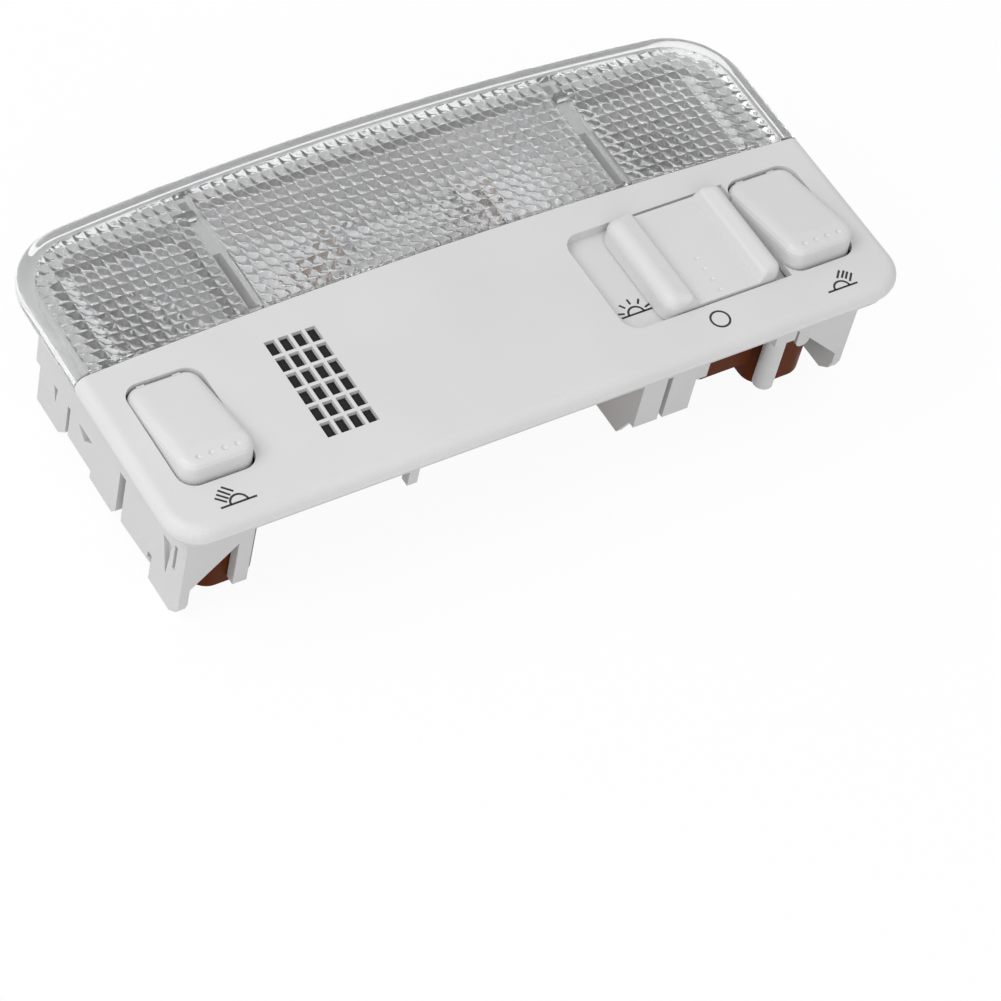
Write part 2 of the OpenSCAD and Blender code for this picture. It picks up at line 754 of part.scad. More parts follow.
module button_solid(shrink, top_drop, low) {
    x = button_w / 2 - button_corner_r;
    y0 = button_front + button_corner_r;
    y1 = button_front + button_l - button_corner_r;
    r = button_corner_r - shrink;
    edge = button_edge_r - shrink > 0.6 ? button_edge_r - shrink : 0.6;
    hull() for (sx = [-1, 1]) {
        translate([sx * x, y0 + 0.5, button_rise - edge - top_drop]) button_corner(r, edge);
        translate([sx * x, y1, button_back_rise - edge - top_drop]) button_corner(r, edge);
        for (y = [y0, y1]) translate([sx * x, y, -low]) cylinder(r = r, h = 1, $fn = 32);
    }
}

post_w = 3.2;

module button_cap(switch_off) {
    difference() {
        button_solid(0, 0, button_low);
        button_solid(button_wall, button_wall, button_low + 2);
    }
    // Post over the plunger
    translate([-switch_off - post_w / 2, switch_y - post_w / 2, -plunger_top + run_gap])
        cube([post_w, post_w, plunger_top + 3.4]);
    for (e = [-1, 1]) {
        x0 = e > 0 ? arm_x : -arm_x - arm_t;
        translate([x0, 0, 0]) rotate([90, 0, 90]) linear_extrude(arm_t) {
            translate([pivot_y, -pivot_z]) circle(arm_tip_r);
            translate([pivot_y - arm_tip_r, -pivot_z]) square([2 * arm_tip_r, pivot_z - button_wall + 0.8]);
        }
        translate([e * (arm_x + arm_t - eps), pivot_y, -pivot_z]) rotate([0, e * 90, 0])
            cylinder(r = peg_r, h = ear_t + ear_gap);
    }
}

dimple_r = 0.8;
dimple_pitch = 3.15;
dimple_in = 3;

module dimples() {
    for (i = [-1.5:1:1.5]) translate([i * dimple_pitch, button_front + dimple_in, button_rise + 0.3])
        sphere(r = dimple_r, $fn = 24);
}

module left_button() {
    color([0.85, 0.85, 0.84]) place() translate([-button_x, 0, 0]) mirror([1, 0, 0]) difference() {
        button_cap(left_switch_off);
        dimples();
    }
}

module right_button() {
    color([0.85, 0.85, 0.84]) place() translate([button_x, 0, 0]) difference() {
        button_cap(right_switch_off);
        dimples();
    }
}

// One grip ridge with rounded ends; its slope runs in to the trough
module ridge(outer, inner, r) {
    y = slider_l / 2 - r;
    low = recess_d - run_gap;
    x = outer > 0 ? outer - r : outer + r;
    hull() {
        for (s = [-1, 1]) {
            translate([x, s * y, ridge_h - r]) sphere(r = r, $fn = 32);
            translate([x, s * y, -low]) cylinder(r = r, h = 1, $fn = 32);
            translate([(x + inner) / 2, s * (y + r - 1.4), ridge_h - 1.9]) sphere(r = 1.4, $fn = 24);
        }
        translate([inner - 0.1, -slider_l / 2, -low]) cube([0.2, slider_l, low + trough_h]);
    }
}

knob_dimple_in = 2;
knob_dimple_pitch = 3.4;

module slider_knob() {
    low = recess_d - run_gap;
    stem_low = recess_d + recess_floor + run_gap + 2.4;
    color([0.86, 0.86, 0.85]) place() translate([slider_x, slider_y, 0]) difference() {
        union() {
            ridge(-slider_w / 2, -slider_w / 2 + 9, 3.2);
            ridge(slider_w / 2, slider_w / 2 - 6, 2.4);
            translate([-slider_w / 2 + 4, -slider_l / 2, -low])
                cube([slider_w - 8, slider_l, low + trough_h]);
            translate([-stem_w / 2, -stem_l / 2, -stem_low]) cube([stem_w, stem_l, stem_low - low + 1]);
        }
        for (i = [0:3]) translate([0, knob_dimple_in - slider_l / 2 + i * knob_dimple_pitch, trough_h + 0.5])
            sphere(r = dimple_r, $fn = 24);
    }
}

carriage_top = recess_d + recess_floor + run_gap;
carriage_t = 3;
carriage_w = 17;
carriage_l = 13;

module slider_carriage() {
    color([0.12, 0.12, 0.13]) place()
    translate([slider_x, slider_y, -carriage_top - carriage_t]) difference() {
        translate([-carriage_w / 2, -carriage_l / 2, 0]) cube([carriage_w, carriage_l, carriage_t]);
        translate([-stem_w / 2, -stem_l / 2, carriage_t - 2.4]) cube([stem_w, stem_l, 3]);
    }
}

bridge_t = 0.4;
bridge_drop = 1.2;

module slider_bridge() {
    low = carriage_top + carriage_t;
    color([0.78, 0.5, 0.3]) place() translate([slider_x, slider_y, -low]) rotate([90, 0, 0])
        linear_extrude(4, center = true) polygon([
            [-7, 0], [7, 0], [7, -bridge_t], [5.4, -bridge_drop - bridge_t], [3.6, -bridge_drop - bridge_t],
            [2, -bridge_t], [-2, -bridge_t], [-3.6, -bridge_drop - bridge_t], [-5.4, -bridge_drop - bridge_t],
            [-7, -bridge_t]]);
}

contact_top = carriage_top + carriage_t + bridge_drop + bridge_t + 0.2;
contact_t = 0.5;

module slide_switch_base() {
    color([0.1, 0.1, 0.11]) place()
        translate([slider_x - slider_travel / 2 - 14, slider_y - 8, -carrier_z])
        cube([28, 16, carrier_z - contact_top - contact_t]);
}

module slide_switch_contacts() {
    color([0.8, 0.52, 0.32]) place()
        translate([slider_x - slider_travel / 2, slider_y, -contact_top - contact_t])
        for (x = [-12, -4, 4]) translate([x, -3.5, 0]) cube([7, 7, contact_t]);
}

cup_turn = 0.8;

// Cup with a rounded foot, a round bore and a flange at its sides that lies on the carrier
module switch_cup(x) {
    translate([x, switch_y, 0]) difference() {
        union() {
            hull() for (a = [0:30:90]) {
                drawn_in = 2 * cup_turn * (1 - cos(a));
                slab(cup_z - cup_turn * (1 - sin(a)), carrier_z)
                    rounded(cup_w - drawn_in, cup_l - drawn_in, cup_corner_r - drawn_in / 2);
            }
            slab(carrier_z, carrier_z - cup_flange_t)
                rounded(cup_w + 2 * cup_flange_w, cup_l, cup_corner_r);
        }
        translate([0, 0, -cup_z + cup_floor]) cylinder(r = cup_bore_r, h = cup_z);
    }
}

module left_switch_cup() {
    color([0.4, 0.2, 0.09]) place() switch_cup(left_switch_x);
}

module right_switch_cup() {
    color([0.4, 0.2, 0.09]) place() switch_cup(right_switch_x);
}

lid_low = carrier_z - cup_flange_t + lid_t;
lid_r = cup_bore_r - 0.05;
lid_rim = 0.8;
lid_rim_w = 0.9;

module switch_lid(x) {
    translate([x, switch_y, -lid_low]) difference() {
        union() {
            cylinder(r = lid_r, h = lid_t + lid_rim);
            translate([0, 0, lid_t]) cylinder(r = cup_bore_r + lid_rim_w, h = lid_rim);
        }
        translate([0, 0, -1]) cylinder(r = plunger_r + 0.08, h = lid_t + 4);
    }
}

module left_switch_lid() {
    color([0.9, 0.88, 0.84]) place() switch_lid(left_switch_x);
}

module right_switch_lid() {
    color([0.9, 0.88, 0.84]) place() switch_lid(right_switch_x);
}

plunger_flange_t = 1.4;
plunger_low = lid_low + 0.1 + plunger_flange_t;

module plunger(x) {
    translate([x, switch_y, 0]) {
        translate([0, 0, -plunger_low]) cylinder(r = plunger_r, h = plunger_low - plunger_top);
        translate([0, 0, -plunger_low]) cylinder(r = spring_r + 0.9, h = plunger_flange_t);
    }
}

module left_plunger() {
    color([0.93, 0.92, 0.9]) place() plunger(left_switch_x);
}

module right_plunger() {
    color([0.93, 0.92, 0.9]) place() plunger(right_switch_x);
}

spring_low = cup_z - cup_floor;
spring_turns = 6;
spring_steps = 14;

function ring_point(t, a) =
    let (turn = 360 * t, r = spring_r + wire_r * cos(a))
    [r * cos(turn), r * sin(turn), wire_r * sin(a)];

// Coil spring swept as one skin: rings of six points along a helix, with flat end turns
module coil(h, turns) {
    n = turns * spring_steps;
    lift = h - 2 * wire_r;
    points = [for (i = [0:n], k = [0:5])
        let (t = i / spring_steps, rise = min(max(t - 0.5, 0), turns - 1) / (turns - 1))
        ring_point(t, k * 60) + [0, 0, wire_r + lift * rise]];
    skin = [for (i = [0:n - 1], k = [0:5]) let (a = i * 6 + k, b = i * 6 + (k + 1) % 6)
        [a, b, b + 6, a + 6]];
    polyhedron(points = points, faces = concat(skin, [[5, 4, 3, 2, 1, 0]], [[for (k = [0:5]) n * 6 + k]]));
}

module return_spring(x) {
    translate([x, switch_y, -spring_low + 0.05]) coil(spring_low - plunger_low - 0.1, spring_turns);
}

module left_return_spring() {
    color([0.65, 0.66, 0.68]) place() return_spring(left_switch_x);
}

module right_return_spring() {
    color([0.65, 0.66, 0.68]) place() return_spring(right_switch_x);
}

bar_w = 4;

module under_strip(x0, x1, y) {
    translate([x0, y, -carrier_low - bar_t]) cube([x1 - x0, bar_w, bar_t]);
}

// Strip down the wall of the lamp chambers and back under their floor
module lamp_strip(x, w, reach) {
    translate([x - w / 2, lamp_y - bar_t, -lamp_floor_z - bar_t]) {
        cube([w, bar_t, lamp_floor_z - carrier_low]);
        cube([w, reach, bar_t]);
    }
}

strip_w = 4;
strip_end = half_w - 12.3;

module supply_busbar() {
    x = 9 - mid_half_w - strip_w / 2;
    color([0.8, 0.52, 0.32]) place() {
        under_strip(26.3 - half_w, half_w - 34.3, supply_y);
        translate([x, supply_y, -carrier_low - bar_t]) cube([strip_w, lamp_y - supply_y, bar_t]);
        lamp_strip(x + strip_w / 2, strip_w, 22);
    }
}

module ground_busbar() {
    color([0.8, 0.52, 0.32]) place() {
        under_strip(-strip_end, strip_end, ground_y);
        for (side = [-1, 1]) mirrored(side) {
            translate([strip_end - strip_w, ground_y, -carrier_low - bar_t])
                cube([strip_w, lamp_y - ground_y, bar_t]);
            lamp_strip(strip_end - strip_w / 2, strip_w, 14);
        }
    }
}

module switched_busbar() {
    y0 = switch_y + cup_l / 2 + 0.6;
    y1 = ground_y - 1;
    color([0.8, 0.52, 0.32]) place() translate([pin_x - 3.5, 0, -carrier_low - bar_t]) {
        translate([0, y0, 0]) cube([strip_w, y1 - y0, bar_t]);
        translate([-14, y1 - strip_w, 0]) cube([15, strip_w, bar_t]);
    }
}

pin_rise = 9;

module socket_pins() {
    color([0.82, 0.56, 0.36]) place() translate([socket_x, socket_y, pin_rise - socket_z])
        for (i = [0:2], j = [0:1]) translate([pin_place(i) - pin_w / 2, pin_row(j) - pin_t / 2, 0])
            cube([pin_w, pin_t, socket_z - pin_rise - carrier_low]);
}

module tray(x0, x1, y0, y1, z0, z1, slope) {
    intersection() {
        translate([0, y1, 0]) rotate([90, 0, 0]) linear_extrude(y1 - y0)
            polygon([[x0, -z0], [x1, -z0], [x1 - slope, -z1], [x0 + slope, -z1]]);
        translate([x0, 0, 0]) rotate([90, 0, 90]) linear_extrude(x1 - x0)
            polygon([[y0, -z0], [y1, -z0], [y1 - slope, -z1], [y0 + slope, -z1]]);
    }
}

tray_gap = 0.4;
tray_top = ledge_z + 1;
tray_low = lamp_floor_z - lamp_floor_t - 0.2;
mid_floor_y = min(mid_back_y, back_edge(mid_half_w, chamber_inset));

module reflector(x0, x1, y1, slope) {
    y0 = lamp_y + lamp_wall_t + tray_gap;
    difference() {
        tray(x0, x1, y0, y1, tray_top, tray_low, slope);
        translate([0, 0, sheet_t]) tray(x0 + sheet_t, x1 - sheet_t, y0 + sheet_t, y1 - sheet_t,
            tray_top - 1, tray_low, slope);
    }
}

module middle_reflector() {
    color([0.7, 0.7, 0.7]) place() difference() {
        reflector(-mid_half_w + tray_gap, mid_half_w - tray_gap, mid_floor_y - tray_gap, 6);
        for (side = [-1, 1]) mirrored(side) translate([tube_bulb_l / 2 - 1.5, tube_bulb_y - 4, -tray_low - 1])
            cube([8, 8, 4]);
    }
}

module side_reflector() {
    difference() {
        reflector(side_in + tray_gap + 3.2, side_out - 2.6, side_back_y - 4.4, 5);
        translate([reading_x, reading_y, -tray_low - 1]) cylinder(r = holder_r + 0.4, h = 4);
        translate([reading_x, reading_y, -tray_low - 1]) cylinder(r = reading_r + 0.4, h = tray_low);
    }
}

module left_reflector() {
    color([0.7, 0.7, 0.7]) place() mirrored(-1) side_reflector();
}

module right_reflector() {
    color([0.7, 0.7, 0.7]) place() side_reflector();
}

cap_l = 6;
cap_r = 3.6;

module tube_bulb_glass() {
    r = tube_bulb_r;
    e = tube_bulb_l / 2 - cap_l;
    color([0.95, 0.97, 1, 0.5]) place() translate([0, tube_bulb_y, -tube_bulb_z])
        rotate([0, 90, 0]) rotate_extrude() polygon([
            [3.4, -e - 1.4], [3.4, -e + 0.1], [r, -e + 3], [r, e - 3], [3.4, e - 0.1], [3.4, e + 1.4],
            [2.7, e + 1.4], [2.7, e], [r - 0.7, e - 3.2], [r - 0.7, -e + 3.2], [2.7, -e], [2.7, -e - 1.4]]);
}

module tube_bulb_caps() {
    e = tube_bulb_l / 2;
    color([0.78, 0.78, 0.8]) place() translate([0, tube_bulb_y, -tube_bulb_z])
        for (side = [-1, 1]) rotate([0, side * 90, 0]) rotate_extrude()
            polygon([
                [0, e], [1, e], [cap_r - 0.6, e - 2.6], [cap_r, e - 3.2], [cap_r, e - cap_l],
                [3.42, e - cap_l], [3.42, e - cap_l + 1.5], [0, e - cap_l + 1.5]]);
}

module tube_bulb_filament() {
    e = tube_bulb_l / 2 - cap_l + 1.5;
    color([0.4, 0.4, 0.42]) place() translate([0, tube_bulb_y, -tube_bulb_z]) rotate([0, 90, 0])
        cylinder(r = 0.35, h = 2 * e, center = true);
}

module bulb_contact() {
    x = tube_bulb_l / 2 + 0.1;
    z = lamp_floor_z - lamp_floor_t;
    difference() {
        translate([x, tube_bulb_y - 3, -z]) cube([0.6, 6, z - tube_bulb_z + 4]);
        translate([x - 1, tube_bulb_y, -tube_bulb_z]) rotate([0, 90, 0]) cylinder(r = 1.4, h = 3);
    }
    translate([x, tube_bulb_y - 3, -z]) cube([5, 6, 0.6]);
}

module left_bulb_contact() {
    color([0.8, 0.5, 0.3]) place() mirrored(-1) bulb_contact();
}

module right_bulb_contact() {
    color([0.8, 0.5, 0.3]) place() bulb_contact();
}

holder_r = 7.5;
holder_flange_r = 9.6;
holder_low = 35;
holder_top = 20;
wedge_w = 8.6;
wedge_t = 2.2;
wedge_gap = 0.15;

module bulb_holder() {
    translate([reading_x, reading_y, 0]) difference() {
        union() {
            translate([0, 0, -holder_low]) cylinder(r = holder_r - 1, h = holder_low - holder_top);
            translate([0, 0, -lamp_floor_z - 1.6]) cylinder(r = holder_flange_r, h = 1.6);
            translate([0, 0, -lamp_floor_z - 0.1]) cylinder(r = holder_r, h = lamp_floor_z - holder_top);
            translate([-holder_flange_r, -1.2, -holder_low])
                cube([2 * holder_flange_r, 2.4, holder_low - lamp_floor_z - 1]);
        }
        translate([-wedge_w / 2 - wedge_gap, -wedge_t / 2 - wedge_gap, -holder_top - 8])
            cube([wedge_w + 2 * wedge_gap, wedge_t + 2 * wedge_gap, 10]);
    }
}

module left_bulb_holder() {
    color([0.16, 0.15, 0.15]) place() mirrored(-1) bulb_holder();
}

module right_bulb_holder() {
    color([0.16, 0.15, 0.15]) place() bulb_holder();
}

module reading_bulb() {
    tip = 7;
    low = holder_top - 0.2;
    translate([reading_x, reading_y, 0]) {
        rotate_extrude() polygon(concat([[0, -low], [3.4, -low], [reading_r, -low + 3]],
            arc(0, -tip - reading_r, reading_r, 0, 90, 8)));
        translate([-wedge_w / 2, -wedge_t / 2, -holder_top - 7.6]) cube([wedge_w, wedge_t, 8]);
    }
}

module left_reading_bulb() {
    color([0.95, 0.97, 1, 0.5]) place() mirrored(-1) reading_bulb();
}

module right_reading_bulb() {
    color([0.95, 0.97, 1, 0.5]) place() reading_bulb();
}

face_plate();
lens();
rear_housing();
contact_carrier();
left_button();
right_button();
slider_knob();
slider_carriage();
slider_bridge();
slide_switch_base();
slide_switch_contacts();
left_switch_cup();
right_switch_cup();
left_switch_lid();
right_switch_lid();
left_plunger();
right_plunger();
left_return_spring();
right_return_spring();
supply_busbar();
ground_busbar();
switched_busbar();
socket_pins();
middle_reflector();
left_reflector();
right_reflector();
tube_bulb_glass();
tube_bulb_caps();
tube_bulb_filament();
left_bulb_contact();
right_bulb_contact();
left_reading_bulb();
right_reading_bulb();
left_bulb_holder();
right_bulb_holder();
connector_socket();
microphone();
microphone_foam();
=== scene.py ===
import math

import bmesh
import bpy
from mathutils import Matrix, Vector
from mathutils.geometry import delaunay_2d_cdt


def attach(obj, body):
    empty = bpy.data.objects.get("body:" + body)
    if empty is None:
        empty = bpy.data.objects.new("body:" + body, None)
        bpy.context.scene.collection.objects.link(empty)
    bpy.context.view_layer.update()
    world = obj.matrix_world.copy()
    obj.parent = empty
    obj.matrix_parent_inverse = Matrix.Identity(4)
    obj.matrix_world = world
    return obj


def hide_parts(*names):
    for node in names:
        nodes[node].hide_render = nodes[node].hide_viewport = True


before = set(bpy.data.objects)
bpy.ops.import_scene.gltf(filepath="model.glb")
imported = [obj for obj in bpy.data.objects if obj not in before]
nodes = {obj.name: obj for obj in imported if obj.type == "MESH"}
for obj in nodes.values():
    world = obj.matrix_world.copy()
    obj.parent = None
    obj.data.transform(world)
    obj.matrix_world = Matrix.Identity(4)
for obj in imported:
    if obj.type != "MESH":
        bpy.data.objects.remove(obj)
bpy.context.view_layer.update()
MM = 0.001

# Places
FACE = 40.0
FIT_Y = -26.3
DRAWN_Y = -47.7


def at(x, y, z=0.0):
    """A place measured from the middle of the lens's front edge and from the face, in metres."""
    return Vector((x * MM, (y + FIT_Y) * MM, (z + FACE) * MM))


def drawn(x, y, z=0.0):
    """A place measured from the front edge of the face, as the part is drawn, in metres."""
    return Vector((x * MM, (y + DRAWN_Y) * MM, (z + FACE) * MM))


# Camera
AZIMUTH = math.radians(-41.290)
ELEVATION = math.radians(51.771)
ROLL = math.radians(13.854)
DISTANCE = 812.265
FOCAL = 3847.297
TARGET = (-54.514, -54.242)
CENTRE = (427.885, 593.014)
FRAME_PX = 1001.0
SENSOR = 36.0
CLIP_NEAR = 0.05
CLIP_FAR = 20.0


def make_camera():
    level = math.cos(ELEVATION)
    back = Vector((math.sin(AZIMUTH) * level, -math.cos(AZIMUTH) * level, math.sin(ELEVATION)))
    side = Vector((0, 0, 1)).cross(back).normalized()
    up = back.cross(side)
    right = math.cos(ROLL) * side + math.sin(ROLL) * up
    top = math.cos(ROLL) * up - math.sin(ROLL) * side
    place = at(*TARGET) + back * DISTANCE * MM
    data = bpy.data.cameras.new("camera")
    data.sensor_width = SENSOR
    data.lens = FOCAL * SENSOR / FRAME_PX
    data.shift_x = (FRAME_PX / 2 - CENTRE[0]) / FRAME_PX
    data.shift_y = (CENTRE[1] - FRAME_PX / 2) / FRAME_PX
    data.clip_start = CLIP_NEAR
    data.clip_end = CLIP_FAR
    camera = bpy.data.objects.new("camera", data)
    bpy.context.collection.objects.link(camera)
    m = Matrix.Identity(4)
    for row in range(3):
        m[row][0] = right[row]
        m[row][1] = top[row]
        m[row][2] = back[row]
        m[row][3] = place[row]
    camera.matrix_world = m
    bpy.context.scene.camera = camera


# Materials
PLASTIC_IOR = 1.49
PLASTIC_DRIFT = 35.0
METAL_DRIFT = 120.0
CLEAR_DRIFT = 60.0
PLASTIC_BUMP = 0.35
METAL_BUMP = 0.15
METAL_DEPTH = 0.00003


class Graph:
    """A material's node tree, with short ways to add to it."""

    def __init__(self, name):
        self.material = bpy.data.materials.new(name)
        self.material.use_nodes = True
        self.tree = self.material.node_tree
        self.tree.nodes.clear()
        self.out = self.tree.nodes.new("ShaderNodeOutputMaterial")
        self.coord = self.tree.nodes.new("ShaderNodeTexCoord").outputs["Object"]

    def add(self, kind, **values):
        n = self.tree.nodes.new(kind)
        for key, value in values.items():
            if key in n.inputs:
                n.inputs[key].default_value = value
            else:
                setattr(n, key, value)
        return n

    def join(self, a, b):
        self.tree.links.new(a, b)

    def noise(self, scale, detail=2.0, roughness=0.5):
        n = self.add("ShaderNodeTexNoise", Scale=scale, Detail=detail, Roughness=roughness)
        self.join(self.coord, n.inputs["Vector"])
        return n.outputs["Fac"]

    def ramp(self, value, low, high, start=0.3, end=0.7):
        n = self.add("ShaderNodeValToRGB")
        n.color_ramp.elements[0].position = start
        n.color_ramp.elements[1].position = end
        n.color_ramp.elements[0].color = (*low, 1.0)
        n.color_ramp.elements[1].color = (*high, 1.0)
        self.join(value, n.inputs["Fac"])
        return n.outputs["Color"]

    def span(self, value, low, high, start=0.0, end=1.0):
        n = self.add("ShaderNodeMapRange")
        n.inputs["From Min"].default_value = start
        n.inputs["From Max"].default_value = end
        n.inputs["To Min"].default_value = low
        n.inputs["To Max"].default_value = high
        self.join(value, n.inputs["Value"])
        return n.outputs["Result"]

    def bump(self, height, strength, distance):
        n = self.add("ShaderNodeBump", Strength=strength, Distance=distance)
        self.join(height, n.inputs["Height"])
        return n.outputs["Normal"]

    def principled(self, **values):
        n = self.add("ShaderNodeBsdfPrincipled")
        for key, value in values.items():
            n.inputs[key.replace("_", " ")].default_value = value
        self.join(n.outputs["BSDF"], self.out.inputs["Surface"])
        return n


def shade(colour, factor):
    return tuple(min(1.0, c * factor) for c in colour)


def moulded(name, colour, rough, grain, grain_depth, vary=0.02, specular=0.4):
    """Moulded plastic: fine grain in the normal, slow drift in colour and gloss."""
    g = Graph(name)
    p = g.principled(Specular_IOR_Level=specular, IOR=PLASTIC_IOR)
    slow = g.noise(PLASTIC_DRIFT, 3.0)
    fine = g.noise(grain, 2.0, 0.6)
    g.join(g.ramp(slow, shade(colour, 1 - vary), shade(colour, 1 + vary)), p.inputs["Base Color"])
    g.join(g.span(fine, rough - 0.05, rough + 0.07, 0.3, 0.7), p.inputs["Roughness"])
    g.join(g.bump(fine, PLASTIC_BUMP, grain_depth), p.inputs["Normal"])
    return g.material


def metal(name, colour, rough, streak=900.0, vary=0.08):
    """Bare metal: slow drift in colour, fine uneven gloss."""
    g = Graph(name)
    p = g.principled(Metallic=1.0)
    slow = g.noise(METAL_DRIFT, 3.0)
    fine = g.noise(streak, 3.0)
    g.join(g.ramp(slow, shade(colour, 1 - vary), shade(colour, 1 + vary)), p.inputs["Base Color"])
    g.join(g.span(fine, rough - 0.06, rough + 0.08, 0.3, 0.7), p.inputs["Roughness"])
    g.join(g.bump(fine, METAL_BUMP, METAL_DEPTH), p.inputs["Normal"])
    return g.material


def clear(name, colour, rough, ior, passes=1.0):
    """Clear plastic or glass: passes is the share of light let through, the rest is haze."""
    g = Graph(name)
    p = g.principled(Transmission_Weight=passes, IOR=ior)
    slow = g.noise(CLEAR_DRIFT, 2.0)
    g.join(g.ramp(slow, shade(colour, 0.985), colour), p.inputs["Base Color"])
    g.join(g.span(slow, rough, rough + 0.02), p.inputs["Roughness"])
    return g.material


def make_materials():
    return {
        "face": moulded("face_plastic", (0.695, 0.695, 0.695), 0.46, 2600.0, 0.00004),
        "button": moulded("button_plastic", (0.70, 0.70, 0.70), 0.42, 2600.0, 0.00003),
        "housing": moulded("housing_plastic", (0.60, 0.60, 0.60), 0.44, 1800.0, 0.00003),
        "brown": moulded("brown_phenolic", (0.10, 0.021, 0.004), 0.34, 1500.0, 0.00001, 0.12, 0.04),
        "black": moulded("black_plastic", (0.03, 0.03, 0.032), 0.45, 1800.0, 0.00004, 0.1),
        "natural": moulded("natural_plastic", (0.74, 0.72, 0.66), 0.4, 1500.0, 0.00003),
        "print": moulded("print_ink", (0.022, 0.022, 0.024), 0.5, 3000.0, 0.00001, 0.1),
        # near-black foam: the microphone's own foam colour, and on the pads raised into the grille
        # slots it is painted shade for the dark slots
        "foam": moulded("black_foam_and_slot_shade", (0.02, 0.02, 0.02), 0.85, 1200.0, 0.0003, 0.2, 0.2),
        "copper": metal("copper_strip", (0.80, 0.46, 0.30), 0.32),
        "contact": metal("dull_copper", (0.36, 0.26, 0.22), 0.4),
        "nickel": metal("nickel_cap", (0.70, 0.70, 0.71), 0.25),
        "steel": metal("spring_steel", (0.45, 0.45, 0.47), 0.3),
        "tungsten": metal("filament_wire", (0.2, 0.2, 0.21), 0.5),
        "mirror": metal("reflector_sheet", (0.88, 0.88, 0.885), 0.5),
        "lens": clear("lens_acrylic", (0.985, 0.99, 0.995), 0.02, PLASTIC_IOR, 0.94),
        "glass": clear("bulb_glass", (0.99, 0.99, 0.99), 0.0, 1.45),
    }


FINISH = {
    "face_plate": "face",
    "lens": "lens",
    "rear_housing": "housing",
    "connector_socket": "housing",
    "contact_carrier": "brown",
    "left_button": "button",
    "right_button": "button",
    "slider_knob": "button",
    "slider_carriage": "black",
    "slider_bridge": "copper",
    "slide_switch_base": "black",
    "slide_switch_contacts": "copper",
    "left_switch_cup": "brown",
    "right_switch_cup": "brown",
    "left_switch_lid": "natural",
    "right_switch_lid": "natural",
    "left_plunger": "natural",
    "right_plunger": "natural",
    "left_return_spring": "steel",
    "right_return_spring": "steel",
    "supply_busbar": "copper",
    "ground_busbar": "copper",
    "switched_busbar": "copper",
    "socket_pins": "copper",
    "middle_reflector": "mirror",
    "left_reflector": "mirror",
    "right_reflector": "mirror",
    "tube_bulb_glass": "glass",
    "tube_bulb_caps": "nickel",
    "tube_bulb_filament": "tungsten",
    "left_bulb_contact": "contact",
    "right_bulb_contact": "contact",
    "left_reading_bulb": "glass",
    "right_reading_bulb": "glass",
    "left_bulb_holder": "black",
    "right_bulb_holder": "black",
    "microphone": "nickel",
    "microphone_foam": "foam",
}


def dress_nodes(materials):
    for name, obj in nodes.items():
        finish = materials[FINISH[name]]
        if not obj.data.materials:
            obj.data.materials.append(finish)
        for i in range(len(obj.material_slots)):
            obj.material_slots[i].material = finish


def mesh_object(name, corners, faces, finish):
    """A new mesh object in the scene, with one material."""
    mesh = bpy.data.meshes.new(name)
    mesh.from_pydata(corners, [], faces)
    mesh.update()
    mesh.materials.append(finish)
    obj = bpy.data.objects.new(name, mesh)
    bpy.context.collection.objects.link(obj)
    return obj


# Printed signs
LINE = 0.52
INK_TOP = 0.03
INK_LOW = -0.02
RECESS_FLOOR = -2.7


def ribbon(path, width, closed=False):
    """A flat solid line along (x, y) points in mm: its corners and faces."""
    n = len(path)
    rails = []
    for i, (x, y) in enumerate(path):
        before = path[i - 1] if i > 0 or closed else path[i]
        after = path[(i + 1) % n] if i < n - 1 or closed else path[i]
        a = Vector((x - before[0], y - before[1]))
        b = Vector((after[0] - x, after[1] - y))
        way = (a.normalized() + b.normalized()).normalized()
        across = Vector((-way.y, way.x)) * width / 2
        rails.append((Vector((x, y)) + across, Vector((x, y)) - across))
    faces = []
    for i in range(n if closed else n - 1):
        a = 4 * i
        b = 4 * ((i + 1) % n)
        faces += [(a, a + 1, b + 1, b), (a + 3, a + 2, b + 2, b + 3),
                  (a + 1, a + 3, b + 3, b + 1), (a + 2, a, b, b + 2)]
    if not closed:
        last = 4 * (n - 1)
        faces += [(2, 3, 1, 0), (last, last + 1, last + 3, last + 2)]
    corners = []
    for left, right in rails:
        for z in (INK_TOP, INK_LOW):
            corners += [(left.x, left.y, z), (right.x, right.y, z)]
    return corners, faces


def arc(cx, cy, r, a0, a1, n):
    turns = [math.radians(a0 + (a1 - a0) * i / n) for i in range(n + 1)]
    return [(cx + r * math.cos(a), cy + r * math.sin(a)) for a in turns]


def symbol(name, lines, z, materials):
    """One printed sign: each line is (points, closed) in mm from the lens's front edge."""
    corners = []
    faces = []
    for path, closed in lines:
        c, f = ribbon(path, LINE, closed)
        start = len(corners)
        corners += [at(x, y, h + z) for x, y, h in c]
        faces += [tuple(start + i for i in face) for face in f]
    obj = mesh_object(name, corners, faces, materials["print"])
    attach(obj, "housing")


